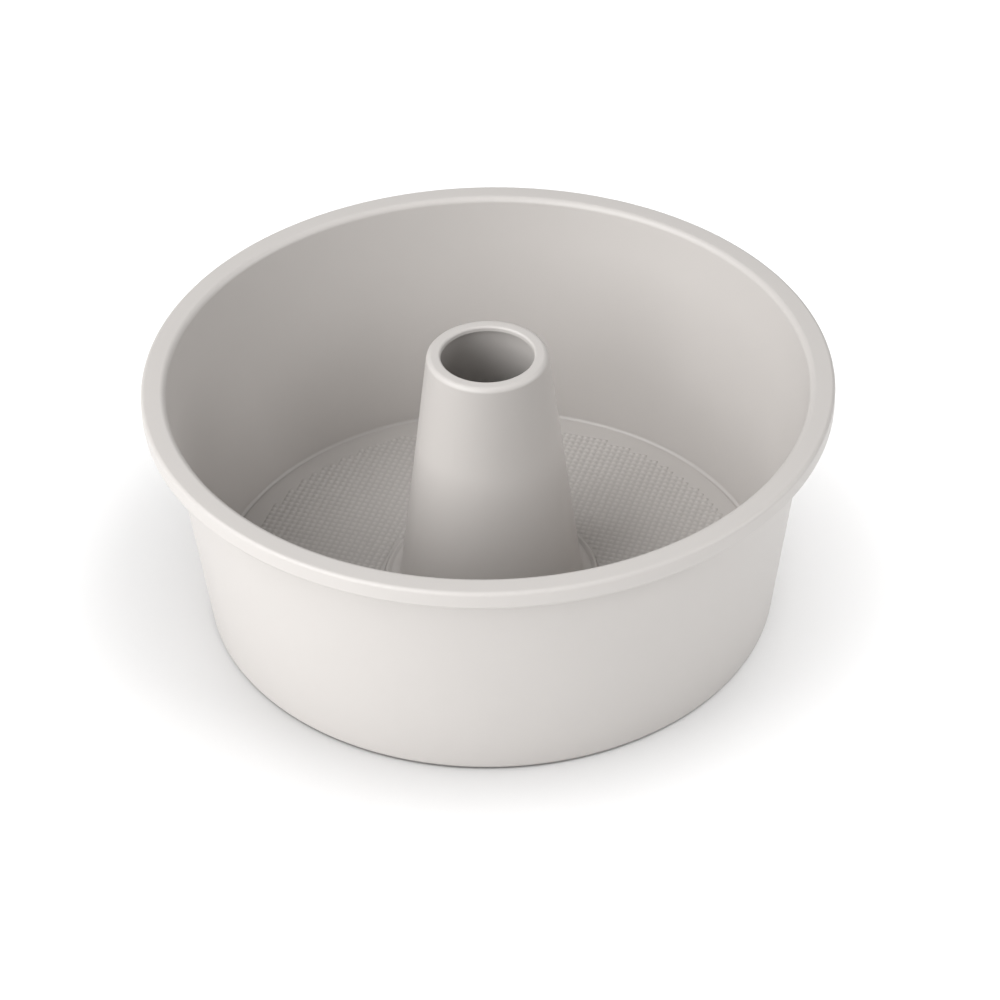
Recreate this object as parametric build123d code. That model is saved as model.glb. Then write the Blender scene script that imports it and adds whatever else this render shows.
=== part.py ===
from build123d import *

import os
from math import atan, cos, radians, tan

# A round tube pan for angel food cake, in two liftable halves.
# A tapered sheet wall has a boxed rim, rolled over a steel wire, and a narrow seat
# turned in at its foot. A loose base plate lies on that seat and carries a tapered
# centre tube. Lengths are millimetres, +Z is up, and the origin is the middle of
# the circle that the pan stands on.

# The wall, its rim and the seat at its foot
rim_diameter = 270.0
pan_height = 104.3
foot_diameter = 228.4
wall_taper_degrees = 6.7
wall_sheet = 1.0
seat_width = 11.0
seat_bend = 2.7
mouth_bend = 2.6
rim_corner = 1.6
rim_tuck_gap = 0.4

# The wire that stiffens the rim
wire_diameter = 5.4
wire_clearance = 0.2

# The loose base plate, which lies flat between the bends at the wall's foot
insert_sheet = 0.8
plate_edge_gap = 0.3
plate_edge_round = 0.3

# The centre tube, its pierced top and the foot that grips the base plate
tube_rise = 9.05
tube_foot_diameter = 75.0
cooling_hole_diameter = 36.6
collar_depth = 2.2
collar_bend = 1.0
shoulder_bend = 2.3
shoulder_land = 3.1
foot_flange_width = 6.7
foot_bead_diameter = 2.4
foot_flare = 5.0
lip_width = 3.5
lip_bend = 0.8
neck_clearance = 0.1

# Heights that the pieces share
half_wall_sheet = wall_sheet / 2
rim_depth = wire_diameter + 2 * (wire_clearance + wall_sheet)
seat_top = wall_sheet
plate_top = seat_top + insert_sheet
tube_top = pan_height + tube_rise

# The slopes of the wall, which widens upwards, and of the tube, which narrows
wall_slope = radians(wall_taper_degrees)
tube_foot_radius = tube_foot_diameter / 2
tube_top_radius = cooling_hole_diameter / 2 + shoulder_bend + shoulder_land
tube_slope = atan((tube_top_radius - tube_foot_radius) / (tube_top - plate_top))


def wall_radius(height, depth):
    """Radius inside the wall's sheet at a height, depth being the distance in from its outer face."""
    return foot_diameter / 2 + height * tan(wall_slope) - depth / cos(wall_slope)


def tube_radius(height, depth):
    """Radius inside the tube's sheet at a height, depth being the distance in from its outer face."""
    return tube_foot_radius + (height - plate_top) * tan(tube_slope) - depth / cos(tube_slope)


def turned(section):
    """Turn a section about the pan's axis; its X is the radius and its Y the height."""
    return revolve(Plane.XZ * section, Axis.Z)


def pan_wall():
    """Seat, tapered wall and boxed rim, bent from one sheet along its middle line."""
    rim_roof = pan_height - half_wall_sheet
    rim_skirt = rim_diameter / 2 - half_wall_sheet
    rim_floor = pan_height - rim_depth + half_wall_sheet
    seat_inner = foot_diameter / 2 - seat_width
    middle_line = FilletPolyline(
        (seat_inner, half_wall_sheet),
        (wall_radius(half_wall_sheet, half_wall_sheet), half_wall_sheet),
        (wall_radius(rim_roof, half_wall_sheet), rim_roof),
        (rim_skirt, rim_roof),
        (rim_skirt, rim_floor),
        (wall_radius(rim_floor, 0) + rim_tuck_gap, rim_floor),
        radius=[
            seat_bend - half_wall_sheet,
            mouth_bend - half_wall_sheet,
            rim_corner - half_wall_sheet,
            rim_corner - half_wall_sheet,
        ],
    )
    return turned(trace(middle_line, wall_sheet))


def rim_wire():
    """Steel wire ring, lying in the outer corner of the boxed rim."""
    inset = wall_sheet + wire_clearance + wire_diameter / 2
    center = (rim_diameter / 2 - inset, pan_height - inset)
    return turned(Pos(*center) * Circle(wire_diameter / 2))


def base_plate(neck_radius):
    """Flat plate on the seat, with a rounded edge and a middle pierced for the tube's neck."""
    corner_turn = radians(90) - wall_slope
    bend_run = (seat_bend - wall_sheet) * tan(corner_turn / 2)
    plate_edge = wall_radius(seat_top, wall_sheet) - bend_run - plate_edge_gap
    pierced = neck_radius + neck_clearance
    outline = FilletPolyline(
        (pierced, seat_top),
        (plate_edge, seat_top),
        (plate_edge, plate_top),
        (pierced, plate_top),
        radius=[0, plate_edge_round, plate_edge_round, 0],
        close=True,
    )
    return turned(make_face(outline))


def center_tube(neck_radius):
    """Tapered tube, its top pierced and turned down in a collar, its foot folded flat on the plate.

    The two layers of the fold are pressed together, so the foot is one thickness of two sheets.
    Below the plate the sheet goes on in a lip that is turned out under it.
    """
    foot_top = plate_top + 2 * insert_sheet
    lip_bottom = seat_top - insert_sheet
    shoulder_under = tube_top - insert_sheet
    hole = cooling_hole_diameter / 2
    collar_outer = hole + insert_sheet
    collar_end = tube_top - collar_depth
    bead = foot_bead_diameter / 2
    bead_center = tube_foot_radius + foot_flange_width - bead
    lip_edge = neck_radius + lip_width
    corners = [
        ((hole, collar_end), 0),
        ((hole, tube_top), collar_bend),
        ((tube_radius(tube_top, 0), tube_top), shoulder_bend),
        ((tube_radius(foot_top, 0), foot_top), foot_flare),
        ((bead_center, foot_top), 0),
        ((bead_center, plate_top), 0),
        ((neck_radius, plate_top), 0),
        ((neck_radius, seat_top), 0),
        ((lip_edge, seat_top), 0),
        ((lip_edge, lip_bottom), 0),
        ((tube_radius(lip_bottom, insert_sheet), lip_bottom), lip_bend),
        ((tube_radius(shoulder_under, insert_sheet), shoulder_under), shoulder_bend - insert_sheet),
        ((collar_outer, shoulder_under), collar_bend - insert_sheet),
        ((collar_outer, collar_end), 0),
    ]
    points, bends = zip(*corners)
    outline = FilletPolyline(*points, radius=list(bends), close=True)
    fold_bead = Pos(bead_center, plate_top + bead) * Circle(bead)
    return turned(make_face(outline) + fold_bead)


# The tube's neck passes through the plate just outside the tube's own bore
neck_radius = tube_radius(seat_top, insert_sheet) + insert_sheet

pieces = {
    "pan_wall": pan_wall(),
    "rim_wire": rim_wire(),
    "base_plate": base_plate(neck_radius),
    "center_tube": center_tube(neck_radius),
}

os.makedirs("parts", exist_ok=True)
for name, piece in pieces.items():
    export_step(piece, f"parts/{name}.step")
    print(name, "volume", round(piece.volume), "mm3")
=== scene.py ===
"""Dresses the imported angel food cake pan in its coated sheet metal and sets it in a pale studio.

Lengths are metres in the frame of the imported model: +Z is up along the pan's own axis, and the
origin is the middle of the circle that the pan stands on. Sizes are written in millimetres
times MM where they are this file's own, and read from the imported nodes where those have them.
"""

import logging
import math
from dataclasses import dataclass, field
from enum import Enum

import bmesh
import bpy
from mathutils import Matrix, Vector


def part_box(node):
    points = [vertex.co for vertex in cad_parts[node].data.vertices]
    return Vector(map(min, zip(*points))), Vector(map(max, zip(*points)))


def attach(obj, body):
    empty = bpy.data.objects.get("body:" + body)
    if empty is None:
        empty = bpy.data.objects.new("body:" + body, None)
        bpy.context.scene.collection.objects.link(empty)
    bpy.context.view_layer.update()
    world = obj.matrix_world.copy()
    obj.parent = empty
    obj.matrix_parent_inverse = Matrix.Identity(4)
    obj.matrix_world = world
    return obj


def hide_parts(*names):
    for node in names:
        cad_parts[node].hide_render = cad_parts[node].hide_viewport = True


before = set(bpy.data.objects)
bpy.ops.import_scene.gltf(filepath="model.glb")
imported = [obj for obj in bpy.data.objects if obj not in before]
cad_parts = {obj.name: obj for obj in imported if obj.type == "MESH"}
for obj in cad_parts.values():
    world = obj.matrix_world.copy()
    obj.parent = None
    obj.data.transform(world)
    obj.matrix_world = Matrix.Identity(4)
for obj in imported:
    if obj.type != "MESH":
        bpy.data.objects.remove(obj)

MM = 0.001
AXIS = Vector((0, 0, 1))
SHARP_CORNER = math.radians(60)
log = logging.getLogger("cake_pan")


class Body(str, Enum):
    """The two halves of the pan that move apart."""

    PAN = "pan"
    INSERT = "insert"


class SheetFace(Enum):
    """The two faces of the base plate that carry the embossed grid."""

    TOP = 1
    UNDER = -1


class Lit(str, Enum):
    """What a studio lamp falls on; each value is the floor's state in Blender's light linking."""

    PAN = "EXCLUDE"
    FLOOR = "INCLUDE"


class Value:
    """A number carried by a shader socket, on which plain arithmetic adds Math nodes."""

    def __init__(self, bench: "NodeBench", socket: bpy.types.NodeSocket) -> None:
        """Wrap a socket.

        Args:
            bench: The node tree that the socket belongs to.
            socket: The output that carries the number.
        """
        self.bench = bench
        self.socket = socket

    def _math(self, operation: str, first: object, second: object) -> "Value":
        """Add a Math node; either side may be a Value or a plain number."""
        node = self.bench.add("ShaderNodeMath", {"operation": operation}, {0: first, 1: second})
        return Value(self.bench, node.outputs[0])

    def __add__(self, other: object) -> "Value":
        """Return self + other."""
        return self._math("ADD", self, other)

    def __radd__(self, other: object) -> "Value":
        """Return other + self."""
        return self._math("ADD", other, self)

    def __sub__(self, other: object) -> "Value":
        """Return self - other."""
        return self._math("SUBTRACT", self, other)

    def __rsub__(self, other: object) -> "Value":
        """Return other - self."""
        return self._math("SUBTRACT", other, self)

    def __mul__(self, other: object) -> "Value":
        """Return self * other."""
        return self._math("MULTIPLY", self, other)

    def __rmul__(self, other: object) -> "Value":
        """Return other * self."""
        return self._math("MULTIPLY", other, self)

    def power(self, exponent: float) -> "Value":
        """Return self to a power."""
        return self._math("POWER", self, exponent)

    def angle_with(self, run: "Value") -> "Value":
        """Return the angle whose rise is self and whose run is given, in radians."""
        return self._math("ARCTAN2", self, run)

    def cosine(self) -> "Value":
        """Return the cosine of self, taken in radians."""
        return self._math("COSINE", self, 0.0)


class NodeBench:
    """Builds the node tree of one material."""

    def __init__(self, name: str) -> None:
        """Start a material that holds only its output and a Principled shader.

        Args:
            name: The material's name.
        """
        self.material = bpy.data.materials.new(name)
        self.material.use_nodes = True
        self.tree = self.material.node_tree
        self.shader = self.tree.nodes["Principled BSDF"]

    def add(
        self, kind: str, settings: dict[str, object], inputs: dict[int | str, object],
    ) -> bpy.types.Node:
        """Add one node.

        Args:
            kind: The node's type name.
            settings: Its own properties, which are set first.
            inputs: For its sockets, by name or number, a plain value, a socket or a Value.

        Returns:
            The new node.
        """
        node = self.tree.nodes.new(kind)
        for key, setting in settings.items():
            setattr(node, key, setting)
        for key, source in inputs.items():
            self.feed(node.inputs[key], source)
        return node

    def feed(self, target: bpy.types.NodeSocket, source: object) -> None:
        """Set a socket, or link something to it.

        Args:
            target: The input socket.
            source: A plain value, a socket or a Value.
        """
        if isinstance(source, Value):
            source = source.socket
        if isinstance(source, bpy.types.NodeSocket):
            self.tree.links.new(source, target)
        else:
            target.default_value = source

    def place(self) -> bpy.types.NodeSocket:
        """Return the point that is shaded, in the object's own coordinates."""
        return self.add("ShaderNodeTexCoord", {}, {}).outputs["Object"]

    def noise(
        self, at: bpy.types.NodeSocket, grain: float, detail: float, roughness: float,
    ) -> Value:
        """Add a noise pattern.

        Args:
            at: The coordinates to read it at.
            grain: The size of its grains, in the units of the coordinates.
            detail: How many finer octaves it has.
            roughness: How strong the finer octaves are.

        Returns:
            The pattern, from 0 to 1 with a mean near a half.
        """
        inputs = {"Vector": at, "Scale": 1 / grain, "Detail": detail, "Roughness": roughness}
        return Value(self, self.add("ShaderNodeTexNoise", {}, inputs).outputs["Fac"])

    def shaded(self, colour: tuple[float, float, float], brightness: Value) -> bpy.types.NodeSocket:
        """Return a colour scaled all over by a varying brightness near 1."""
        settings = {"operation": "SCALE"}
        node = self.add("ShaderNodeVectorMath", settings, {0: colour, "Scale": brightness})
        return node.outputs["Vector"]

    def bumped(self, height: Value, distance: float) -> bpy.types.NodeSocket:
        """Return the surface normal as tilted by a relief.

        Args:
            height: The relief, where 1 is its full height.
            distance: What 1 stands for, in metres.
        """
        inputs = {"Height": height, "Distance": distance, "Strength": 1.0}
        return self.add("ShaderNodeBump", {}, inputs).outputs["Normal"]


@dataclass(frozen=True)
class CoatingFinish:
    """Warm grey non-stick coating, sprayed on the sheet and baked to a satin surface.

    The spray leaves a fine grain and a shallow orange peel, and its thickness drifts a little
    over the width of a hand. Where a grid is pressed into the sheet, its grooves get painted
    shade: the colour is darker there than on the crowns.
    """

    name: str
    colour: tuple[float, float, float] = (0.522, 0.499, 0.480)
    roughness: float = 0.42
    specular: float = 0.5
    drift_width: float = 45 * MM
    drift_shade: float = 0.035
    drift_gloss: float = 0.10
    peel_width: float = 2.2 * MM
    peel_height: float = 0.006 * MM
    grain_width: float = 0.35 * MM
    grain_height: float = 0.0016 * MM
    grain_shade: float = 0.021
    grain_gloss: float = 0.06
    # A grid given here gets painted shade in its grooves, and the value below sets how strong it
    # is.
    painted_shade_grid: "EmbossedGrid | None" = None
    painted_groove_shade: float = 0.17

    def material(self) -> bpy.types.Material:
        """Return the coating as a material."""
        bench = NodeBench(self.name)
        sockets = bench.shader.inputs
        at = bench.place()
        drift = bench.noise(at, self.drift_width, detail=3.0, roughness=0.5) - 0.5
        peel = bench.noise(at, self.peel_width, detail=1.0, roughness=0.4)
        grain = bench.noise(at, self.grain_width, detail=2.0, roughness=0.6)
        fleck = grain - 0.5
        brightness = 1 + drift * self.drift_shade + fleck * self.grain_shade
        # Painted shade in the grid's grooves and painted light on its crowns, in the base colour.
        if self.painted_shade_grid:
            brightness *= 1 + (self._painted_shade_swell(bench, at) - 0.5) * self.painted_groove_shade
        relief = peel + grain * (self.grain_height / self.peel_height)
        gloss = self.roughness + drift * self.drift_gloss + fleck * self.grain_gloss
        bench.feed(sockets["Base Color"], bench.shaded(self.colour, brightness))
        bench.feed(sockets["Roughness"], gloss)
        bench.feed(sockets["Normal"], bench.bumped(relief, self.peel_height))
        bench.feed(sockets["Specular IOR Level"], self.specular)
        return bench.material

    def _painted_shade_swell(self, bench: NodeBench, at: bpy.types.NodeSocket) -> Value:
        """Return the grid's swell at each point of the skin, which places the painted shade.

        Args:
            bench: The node tree that the coating is built in.
            at: The object's coordinates.

        Returns:
            The swell, from 0 in the grooves, where the painted shade is darkest, to 1 on the
            crowns.
        """
        grid = self.painted_shade_grid
        straight = bench.add(
            "ShaderNodeVectorRotate", {"rotation_type": "Z_AXIS", "invert": True},
            {"Vector": at, "Angle": grid.lean})
        parts = bench.add("ShaderNodeSeparateXYZ", {}, {0: straight.outputs[0]})
        along, across = (
            1 + (Value(bench, parts.outputs[axis]) * grid.wave).cosine() for axis in "XY")
        return (along * across * (1 / grid.PEAK)).power(grid.crown)


@dataclass(frozen=True)
class DrawnWireFinish:
    """Bright mild steel wire, with fine streaks along it from the drawing die."""

    name: str
    colour: tuple[float, float, float] = (0.55, 0.545, 0.53)
    roughness: float = 0.34
    streak_width: float = 0.09 * MM
    streak_turn: float = math.radians(9)
    streak_height: float = 0.004 * MM
    streak_shade: float = 0.14
    tarnish_width: float = 14 * MM
    tarnish_shade: float = 0.16
    tarnish_gloss: float = 0.2

    def material(self) -> bpy.types.Material:
        """Return the wire's surface as a material."""
        bench = NodeBench(self.name)
        sockets = bench.shader.inputs
        at = bench.place()
        parts = bench.add("ShaderNodeSeparateXYZ", {}, {0: at})
        across, deep, high = (Value(bench, socket) for socket in parts.outputs)
        reach = (across * across + deep * deep).power(0.5)
        turn = deep.angle_with(across)
        # Read at radius, height and a shortened turn, the noise is drawn out round the ring
        drawn = bench.add("ShaderNodeCombineXYZ", {}, {
            "X": reach, "Y": high, "Z": turn * (self.streak_width / self.streak_turn)})
        streaks = bench.noise(drawn.outputs[0], self.streak_width, detail=3.0, roughness=0.6)
        tarnish = bench.noise(at, self.tarnish_width, detail=2.0, roughness=0.5) - 0.5
        brightness = 1 + (streaks - 0.5) * self.streak_shade + tarnish * self.tarnish_shade
        bench.feed(sockets["Metallic"], 1.0)
        bench.feed(sockets["Base Color"], bench.shaded(self.colour, brightness))
        bench.feed(sockets["Roughness"], self.roughness + tarnish * self.tarnish_gloss)
        bench.feed(sockets["Normal"], bench.bumped(streaks, self.streak_height))
        return bench.material


@dataclass(frozen=True)
class StudioPaperFinish:
    """Matt white paper of the studio floor, with a faint fibre."""

    name: str
    white: float = 0.9
    roughness: float = 0.95
    fibre_width: float = 1.5 * MM
    fibre_shade: float = 0.01

    def material(self) -> bpy.types.Material:
        """Return the paper as a material."""
        bench = NodeBench(self.name)
        sockets = bench.shader.inputs
        fibre = bench.noise(bench.place(), self.fibre_width, detail=2.0, roughness=0.5)
        brightness = 1 + (fibre - 0.5) * self.fibre_shade
        bench.feed(sockets["Base Color"], bench.shaded((self.white,) * 3, brightness))
        bench.feed(sockets["Roughness"], self.roughness)
        bench.feed(sockets["Specular IOR Level"], 0.0)
        return bench.material


class Section:
    """Half of a turned piece's cross-section, drawn in the XZ plane and then spun about the axis.

    X is the distance from the pan's axis and Z the height. Corners stay sharp while the section is
    drawn, and are rounded by their own bends just before it is spun.
    """

    ARC_STEP = math.radians(11)
    FEWEST_ARC_STEPS = 2
    LONGEST_RUN = 7 * MM
    SAME_POINT = 0.001 * MM

    def __init__(self, radius: float, height: float, bend: float = 0.0) -> None:
        """Put the pen down.

        Args:
            radius: Distance of the first point from the axis.
            height: Height of the first point.
            bend: Radius that rounds the first corner, in a section that is closed.
        """
        self.bm = bmesh.new()
        self.first = self.pen = self.bm.verts.new((radius, 0, height))
        self.bends = [(self.pen, bend)]

    def line(self, radius: float, height: float, bend: float = 0.0) -> "Section":
        """Draw a straight run.

        Args:
            radius: Distance of its far end from the axis.
            height: Height of its far end.
            bend: Radius that rounds the corner there.

        Returns:
            The section, so that calls can follow each other.
        """
        grown = bmesh.ops.extrude_vert_indiv(self.bm, verts=[self.pen])
        self.pen = grown["verts"][0]
        self.pen.co = (radius, 0, height)
        self.bends.append((self.pen, bend))
        return self

    def close(self) -> "Section":
        """Join the pen to the first point, and return the section."""
        self.bm.edges.new((self.pen, self.first))
        return self

    def _round_corners(self) -> None:
        """Bevel each corner that has a bend, by the length that gives that radius."""
        for corner, bend in self.bends:
            if not bend:
                continue
            sides = [edge.other_vert(corner).co - corner.co for edge in corner.link_edges]
            turn = math.pi - sides[0].angle(sides[1])
            arc_steps = max(self.FEWEST_ARC_STEPS, math.ceil(turn / self.ARC_STEP))
            bmesh.ops.bevel(
                self.bm, geom=[corner], offset=bend * math.tan(turn / 2), offset_type="OFFSET",
                segments=arc_steps, profile=0.5, affect="VERTICES", material=-1,
                clamp_overlap=False)

    def spun(self, name: str, steps: int) -> bpy.types.Object:
        """Round the corners and turn the section once about the pan's axis.

        Args:
            name: Name of the new object.
            steps: How many segments make the full turn.

        Returns:
            A smooth object with its place in its mesh.
        """
        self._round_corners()
        long_runs: dict[int, list[bmesh.types.BMEdge]] = {}
        for edge in self.bm.edges:
            cuts = int(edge.calc_length() / self.LONGEST_RUN)
            long_runs.setdefault(cuts, []).append(edge)
        for cuts, edges in long_runs.items():
            if cuts:
                bmesh.ops.subdivide_edges(self.bm, edges=edges, cuts=cuts)
        bmesh.ops.spin(
            self.bm, geom=self.bm.verts[:] + self.bm.edges[:], cent=(0, 0, 0), axis=AXIS,
            dvec=(0, 0, 0), angle=math.tau, steps=steps, use_merge=True,
            use_normal_flip=False, use_duplicate=False)
        bmesh.ops.remove_doubles(self.bm, verts=self.bm.verts[:], dist=self.SAME_POINT)
        bmesh.ops.recalc_face_normals(self.bm, faces=self.bm.faces[:])
        return object_from(self.bm, name)


def object_from(bm: bmesh.types.BMesh, name: str) -> bpy.types.Object:
    """Make a smooth-shaded object of a finished bmesh.

    Args:
        bm: The bmesh, which is freed.
        name: Name of the object and its mesh.

    Returns:
        The object, linked to the scene at the origin.
    """
    for face in bm.faces:
        face.smooth = True
    mesh = bpy.data.meshes.new(name)
    bm.to_mesh(mesh)
    bm.free()
    made = bpy.data.objects.new(name, mesh)
    bpy.context.scene.collection.objects.link(made)
    return made


def add_modifier(made: bpy.types.Object, kind: str, **settings: object) -> None:
    """Put one modifier with its settings on an object.

    Args:
        made: The object.
        kind: The modifier's type name.
        settings: Its own properties.
    """
    modifier = made.modifiers.new(kind.lower(), kind)
    for key, setting in settings.items():
        setattr(modifier, key, setting)


def thicken(made: bpy.types.Object, sheet: float, cut_edge: float) -> None:
    """Give a spun middle line the thickness of its sheet, with softened cut edges.

    Args:
        made: The object of the middle surface.
        sheet: Thickness of the sheet.
        cut_edge: Radius that deburring and paint leave on its cut edges.
    """
    add_modifier(made, "SOLIDIFY", thickness=sheet, offset=0.0, use_even_offset=True)
    add_modifier(made, "BEVEL", width=cut_edge, segments=2, limit_method="ANGLE",
                 angle_limit=SHARP_CORNER)


def dress(made: bpy.types.Object, finish: bpy.types.Material, body: Body) -> None:
    """Give a piece its finish and the body that it rides on.

    Args:
        made: The piece.
        finish: Its material.
        body: The half of the pan that it belongs to.
    """
    made.data.materials.clear()
    made.data.materials.append(finish)
    add_modifier(made, "WEIGHTED_NORMAL", keep_sharp=True)
    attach(made, body.value)


@dataclass
class PanBody:
    """The outer half: one sheet for wall, rim and seat, and the wire inside the rim."""

    sheet: float = 1.0 * MM
    foot_radius: float = 114.2 * MM
    wall_slope: float = math.radians(6.7)
    seat_width: float = 11.0 * MM
    seat_bend: float = 2.7 * MM
    mouth_bend: float = 2.6 * MM
    rim_corner: float = 1.6 * MM
    rim_depth: float = 7.8 * MM
    tuck_gap: float = 0.4 * MM
    cut_edge: float = 0.15 * MM
    steps: int = 288
    pieces: list[bpy.types.Object] = field(default_factory=list)

    def wall_radius(self, height: float, depth: float) -> float:
        """Return the wall's radius at a height, depth being the distance in from its outer face."""
        outer = self.foot_radius + height * math.tan(self.wall_slope)
        return outer - depth / math.cos(self.wall_slope)

    def build(self) -> None:
        """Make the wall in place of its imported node, and dress the wire that stays."""
        _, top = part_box("pan_wall")
        half = self.sheet / 2
        roof = top.z - half
        skirt = top.x - half
        floor = top.z - self.rim_depth + half
        section = Section(self.foot_radius - self.seat_width, half)
        section.line(self.wall_radius(half, half), half, self.seat_bend - half)
        section.line(self.wall_radius(roof, half), roof, self.mouth_bend - half)
        section.line(skirt, roof, self.rim_corner - half)
        section.line(skirt, floor, self.rim_corner - half)
        section.line(self.wall_radius(floor, 0) + self.tuck_gap, floor)
        wall = section.spun("wall_and_rim", self.steps)
        thicken(wall, self.sheet, self.cut_edge)
        dress(wall, CoatingFinish("wall_coating").material(), Body.PAN)
        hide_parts("pan_wall")
        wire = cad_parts["rim_wire"]
        wire.data.materials.clear()
        wire.data.materials.append(DrawnWireFinish("drawn_rim_wire").material())
        self.pieces += [wall, wire]


@dataclass
class EmbossedGrid:
    """The square grid of small rounded bumps that is pressed into the base plate.

    The relief is the product of two waves at right angles, each from 0 to 2, whose tops are
    broadened by a power under 1, so that the bumps are wide and the grooves between them narrow.
    Whole cells are pressed, so the grid's edge runs in steps along the circles that bound it.
    """

    PEAK = 4.0

    pitch: float = 2.73 * MM
    lean: float = math.radians(-18.2)
    relief: float = 0.62 * MM
    crown: float = 0.6
    lift: float = 0.02 * MM
    edge_dip: float = 0.06 * MM
    slab_dip: float = 0.24 * MM
    points_a_cell: int = 4

    @property
    def wave(self) -> float:
        """Return how far the relief's waves turn in a metre, in radians."""
        return math.tau / self.pitch

    def skin(
        self, name: str, face: SheetFace, level: float, inner: float, outer: float,
    ) -> bpy.types.Object:
        """Make the pressed relief of one face of the plate as a thin closed slab.

        Args:
            name: Name of the new object.
            face: Which face of the plate it is on.
            level: Height of that face where it is flat.
            inner: Radius inside which no cell is pressed.
            outer: Radius outside which no cell is pressed.

        Returns:
            The slab, whose relief stands clear of the flat face and whose rim dips into it.
        """
        cells = 2 * math.ceil(outer / self.pitch) + 1
        segments = cells * self.points_a_cell
        bm = bmesh.new()
        bmesh.ops.create_grid(
            bm, x_segments=segments, y_segments=segments, size=cells * self.pitch / 2)
        bare = [quad for quad in bm.faces if not inner < self._cell_reach(quad) < outer]
        bmesh.ops.delete(bm, geom=bare, context="FACES")
        self._press(bm, face, level)
        edge = [line for line in bm.edges if line.is_boundary]
        for line in edge:
            line.smooth = False
            for point in line.verts:
                point.co.z = level - face.value * self.edge_dip
        self._close_slab(bm, edge, level - face.value * self.slab_dip)
        lean = Matrix.Rotation(self.lean, 3, AXIS)
        bmesh.ops.rotate(bm, verts=bm.verts[:], cent=(0, 0, 0), matrix=lean)
        bmesh.ops.recalc_face_normals(bm, faces=bm.faces[:])
        return object_from(bm, name)

    def _press(self, bm: bmesh.types.BMesh, face: SheetFace, level: float) -> None:
        """Raise a flat grid to the relief: bumps on the top face, dents on the one under it.

        Args:
            bm: The flat grid.
            face: Which face of the plate it is on.
            level: Height of that face where it is flat.
        """
        on_top = face is SheetFace.TOP
        lowest = level + self.lift if on_top else level - self.lift - self.relief
        for point in bm.verts:
            along, across = (1 + math.cos(self.wave * place) for place in point.co.xy)
            swell = max(0.0, along * across / self.PEAK) ** self.crown
            point.co.z = lowest + self.relief * (swell if on_top else 1 - swell)

    def _cell_reach(self, quad: bmesh.types.BMFace) -> float:
        """Return how far from the axis the middle of a face's cell is."""
        middle = quad.calc_center_median()
        return self.pitch * math.hypot(round(middle.x / self.pitch), round(middle.y / self.pitch))

    @staticmethod
    def _close_slab(bm: bmesh.types.BMesh, edge: list[bmesh.types.BMEdge], level: float) -> None:
        """Draw the relief's border down or up into the sheet and fill it flat there.

        Args:
            bm: The relief.
            edge: Its border.
            level: Height of the flat side.
        """
        drawn = bmesh.ops.extrude_edge_only(bm, edges=edge)["geom"]
        for item in drawn:
            if isinstance(item, bmesh.types.BMVert):
                item.co.z = level
        rim = [item for item in drawn if isinstance(item, bmesh.types.BMEdge) and item.is_boundary]
        bmesh.ops.triangle_fill(bm, edges=rim, use_beauty=True, use_dissolve=False)


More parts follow.
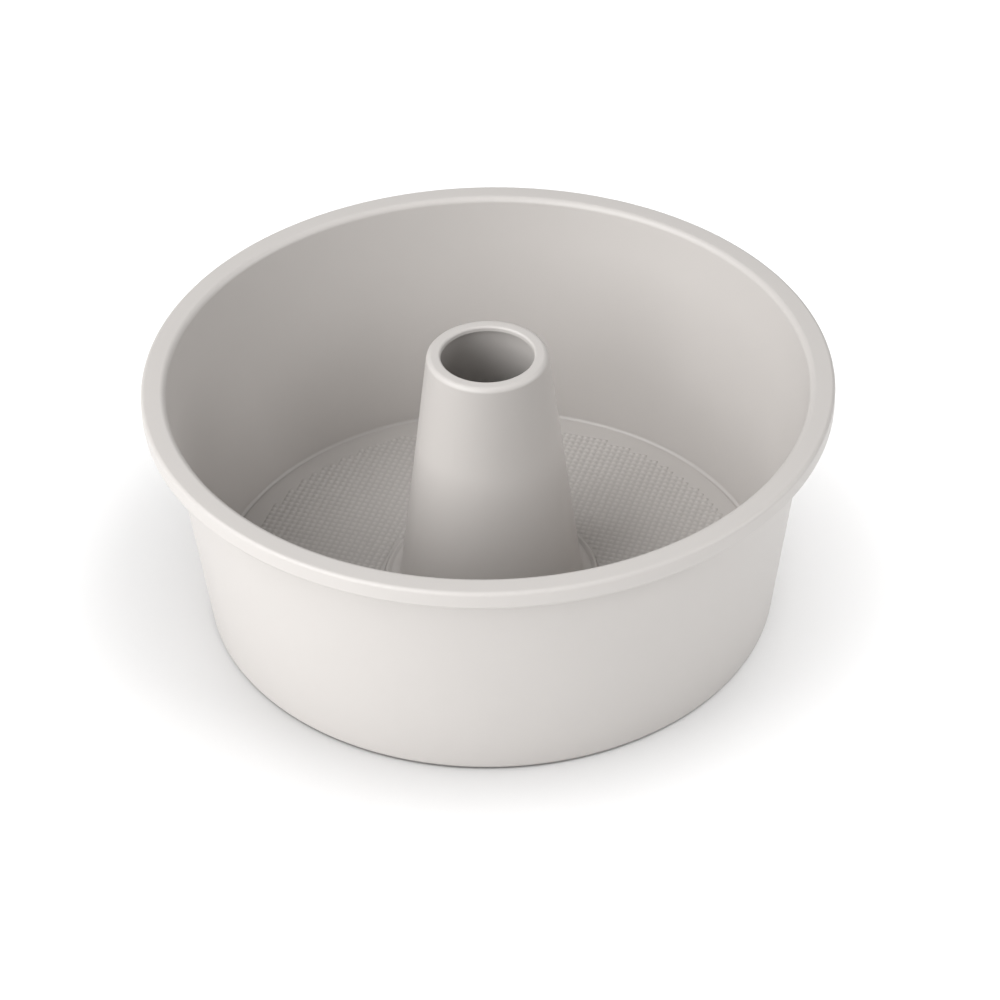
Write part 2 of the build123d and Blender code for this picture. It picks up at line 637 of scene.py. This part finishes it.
@dataclass
class CakeInsert:
    """The lift-out half: the embossed base plate and the drawn centre tube that grips it."""

    sheet: float = 0.8 * MM
    plate_top: float = 1.8 * MM
    edge_round: float = 0.3 * MM
    neck_gap: float = 0.1 * MM
    foot_radius: float = 37.5 * MM
    foot_flange: float = 6.7 * MM
    foot_bead: float = 2.4 * MM
    bead_rise: float = 2.04 * MM
    bead_entry: float = 2.5 * MM
    foot_flare: float = 5.0 * MM
    lip_width: float = 3.5 * MM
    lip_bend: float = 0.8 * MM
    hole_radius: float = 18.3 * MM
    collar_depth: float = 2.2 * MM
    collar_bend: float = 1.0 * MM
    shoulder_bend: float = 2.3 * MM
    shoulder_land: float = 3.1 * MM
    cut_edge: float = 0.2 * MM
    grid_inner: float = 45.3 * MM
    grid_outer: float = 103.0 * MM
    under_outer: float = 100.5 * MM
    plate_steps: int = 288
    tube_steps: int = 192
    grid: EmbossedGrid = field(default_factory=EmbossedGrid)
    pieces: list[bpy.types.Object] = field(default_factory=list)

    def tube_radius(self, height: float, depth: float) -> float:
        """Return the tube's radius at a height, depth being the distance in from its outer face."""
        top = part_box("center_tube")[1].z
        narrow = self.hole_radius + self.shoulder_bend + self.shoulder_land
        slope = math.atan((narrow - self.foot_radius) / (top - self.plate_top))
        outer = self.foot_radius + (height - self.plate_top) * math.tan(slope)
        return outer - depth / math.cos(slope)

    def neck_radius(self) -> float:
        """Return the outer radius of the tube's neck where it passes through the plate."""
        return self.tube_radius(self.plate_top - self.sheet, self.sheet) + self.sheet

    def build(self) -> None:
        """Make the plate, its two embossed faces and the tube."""
        plate_under = self.plate_top - self.sheet
        plate = self._plate()
        tube = self._tube()
        bumps = self.grid.skin(
            "plate_bumps", SheetFace.TOP, self.plate_top, self.grid_inner, self.grid_outer)
        dents = self.grid.skin(
            "plate_dents", SheetFace.UNDER, plate_under, self.grid_inner, self.under_outer)
        coating = CoatingFinish("insert_coating").material()
        # The skins' coating carries painted shade in the grid's grooves.
        embossed = CoatingFinish("embossed_coating_painted_shade", painted_shade_grid=self.grid).material()
        for skin in (bumps, dents):
            dress(skin, embossed, Body.INSERT)
        dress(plate, coating, Body.INSERT)
        dress(tube, coating, Body.INSERT)
        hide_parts("base_plate")
        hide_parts("center_tube")
        self.pieces += [plate, bumps, dents, tube]

    def _plate(self) -> bpy.types.Object:
        """Return the flat plate with its rounded edge."""
        pierced = self.neck_radius() + self.neck_gap
        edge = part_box("base_plate")[1].x
        under = self.plate_top - self.sheet
        section = Section(pierced, under, self.cut_edge)
        section.line(edge, under, self.edge_round)
        section.line(edge, self.plate_top, self.edge_round)
        section.line(pierced, self.plate_top, self.cut_edge)
        return section.close().spun("embossed_plate", self.plate_steps)

    def _tube(self) -> bpy.types.Object:
        """Return the tube with its collared top, folded foot and the lip under the plate."""
        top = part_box("center_tube")[1].z
        under_top = top - self.sheet
        collar_end = top - self.collar_depth
        collar_outer = self.hole_radius + self.sheet
        foot_top = self.plate_top + 2 * self.sheet
        plate_under = self.plate_top - self.sheet
        lip_under = plate_under - self.sheet
        bead = self.foot_bead / 2
        bead_at = self.foot_radius + self.foot_flange - bead
        neck = self.neck_radius()
        lip_edge = neck + self.lip_width
        # Up inside the collar, over the shoulder and down the outside to the foot
        section = Section(self.hole_radius, collar_end, self.cut_edge)
        section.line(self.hole_radius, top, self.collar_bend)
        section.line(self.tube_radius(top, 0), top, self.shoulder_bend)
        section.line(self.tube_radius(foot_top, 0), foot_top, self.foot_flare)
        # Over the bead and back under the fold, which lies flat on the plate
        section.line(bead_at - self.bead_rise, foot_top, self.bead_entry)
        section.line(bead_at, self.plate_top + self.foot_bead, bead)
        section.line(bead_at + bead, self.plate_top)
        section.line(neck, self.plate_top)
        # Down through the plate and round the lip under it
        section.line(neck, plate_under)
        section.line(lip_edge, plate_under, self.cut_edge)
        section.line(lip_edge, lip_under, self.cut_edge)
        section.line(self.tube_radius(lip_under, self.sheet), lip_under, self.lip_bend)
        # Up the bore, under the shoulder and down behind the collar
        bore_top = self.tube_radius(under_top, self.sheet)
        section.line(bore_top, under_top, self.shoulder_bend - self.sheet)
        section.line(collar_outer, under_top, self.collar_bend - self.sheet)
        section.line(collar_outer, collar_end, self.cut_edge)
        return section.close().spun("centre_tube", self.tube_steps)


@dataclass(frozen=True)
class Softbox:
    """A large soft lamp that looks at the pan and falls on the pan alone or on the floor alone.

    Its azimuth, from +X towards +Y, and its elevation are in degrees.
    """

    name: str
    azimuth: float
    elevation: float
    watts: float
    lit: Lit = Lit.PAN
    reach: float = 2.4
    width: float = 1.6
    height: float = 1.0

    @classmethod
    def over_floor(cls, name: str, azimuth: float, elevation: float, watts: float) -> "Softbox":
        """Return a broader lamp, a little further off, that falls on the floor alone."""
        return cls(name, azimuth, elevation, watts, Lit.FLOOR, reach=2.5, width=2.0, height=2.0)

    def build(self, target: Vector, floor: bpy.types.Object) -> None:
        """Set the lamp up.

        Args:
            target: The point that it faces.
            floor: The floor, which is all that the lamp falls on, or all that it leaves dark.
        """
        lamp = bpy.data.lights.new(self.name, "AREA")
        lamp.shape = "RECTANGLE"
        lamp.size = self.width
        lamp.size_y = self.height
        lamp.energy = self.watts
        stand = bpy.data.objects.new(self.name, lamp)
        turn, rise = math.radians(self.azimuth), math.radians(self.elevation)
        level = self.reach * math.cos(rise)
        stand.location = (
            level * math.cos(turn), level * math.sin(turn), self.reach * math.sin(rise))
        stand.rotation_euler = (target - stand.location).to_track_quat("-Z", "Y").to_euler()
        receivers = bpy.data.collections.new(f"{self.name}_receivers")
        receivers.objects.link(floor)
        receivers.collection_objects[0].light_linking.link_state = self.lit.value
        stand.light_linking.receiver_collection = receivers
        bpy.context.scene.collection.objects.link(stand)


@dataclass
class Studio:
    """A white paper floor, a pale surround, softboxes and the camera of the photograph."""

    floor_half_width: float = 3.0
    floor_cells: int = 8
    surround: float = 0.35
    target_height: float = 50 * MM
    image_side: float = 1000.0
    focal_pixels: float = 3251.0
    camera_place: tuple[float, float, float] = (0.0, -1.0287, 0.8451)
    camera_clip: tuple[float, float] = (0.01, 20.0)
    pan_angle: float = 0.0038
    tilt: float = 0.6633
    roll: float = -0.017
    softboxes: tuple[Softbox, ...] = (
        Softbox("left", 190, 30, 13.9),
        Softbox("front_left", 225, 30, 24.0),
        Softbox("front", 250, 30, 16.3),
        Softbox("right", 0, 30, 21.0),
        Softbox("high_left", 200, 55, 24.5, height=1.2),
        Softbox.over_floor("overhead", 0, 90, 33.0),
        Softbox.over_floor("far_right", -10, 60, 28.6),
        Softbox.over_floor("far_left", 190, 60, 19.8),
    )

    def build(self) -> None:
        """Lay the floor, set the lamps and the surround, and place the camera."""
        bm = bmesh.new()
        bmesh.ops.create_grid(
            bm, x_segments=self.floor_cells, y_segments=self.floor_cells,
            size=self.floor_half_width)
        floor = object_from(bm, "studio_floor")
        floor.data.materials.append(StudioPaperFinish("studio_paper").material())
        world = bpy.data.worlds.new("studio_surround")
        world.use_nodes = True
        background = world.node_tree.nodes["Background"].inputs
        background["Color"].default_value = (1, 1, 1, 1)
        background["Strength"].default_value = self.surround
        bpy.context.scene.world = world
        bpy.context.scene.view_settings.view_transform = "Standard"
        for softbox in self.softboxes:
            softbox.build(Vector((0, 0, self.target_height)), floor)
        self._place_camera()

    def _place_camera(self) -> None:
        """Make the camera with the place, turn and lens that the photograph's outlines give."""
        forward = Vector((math.sin(self.pan_angle) * math.cos(self.tilt),
                          math.cos(self.pan_angle) * math.cos(self.tilt), -math.sin(self.tilt)))
        level = Vector((math.cos(self.pan_angle), -math.sin(self.pan_angle), 0))
        upright = level.cross(forward)
        side = level * math.cos(self.roll) + upright * math.sin(self.roll)
        up = upright * math.cos(self.roll) - level * math.sin(self.roll)
        data = bpy.data.cameras.new("photo_camera")
        data.lens = data.sensor_width * self.focal_pixels / self.image_side
        data.clip_start, data.clip_end = self.camera_clip
        camera = bpy.data.objects.new("photo_camera", data)
        turn = Matrix((side, up, -forward)).transposed().to_4x4()
        camera.matrix_world = Matrix.Translation(self.camera_place) @ turn
        bpy.context.scene.collection.objects.link(camera)
        bpy.context.scene.camera = camera


def main() -> None:
    """Build the two halves of the pan and the studio."""
    logging.basicConfig(level=logging.INFO, format="%(name)s: %(message)s")
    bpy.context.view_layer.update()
    halves = (PanBody(), CakeInsert())
    for half in halves:
        half.build()
    Studio().build()


if __name__ == "__main__":
    main()
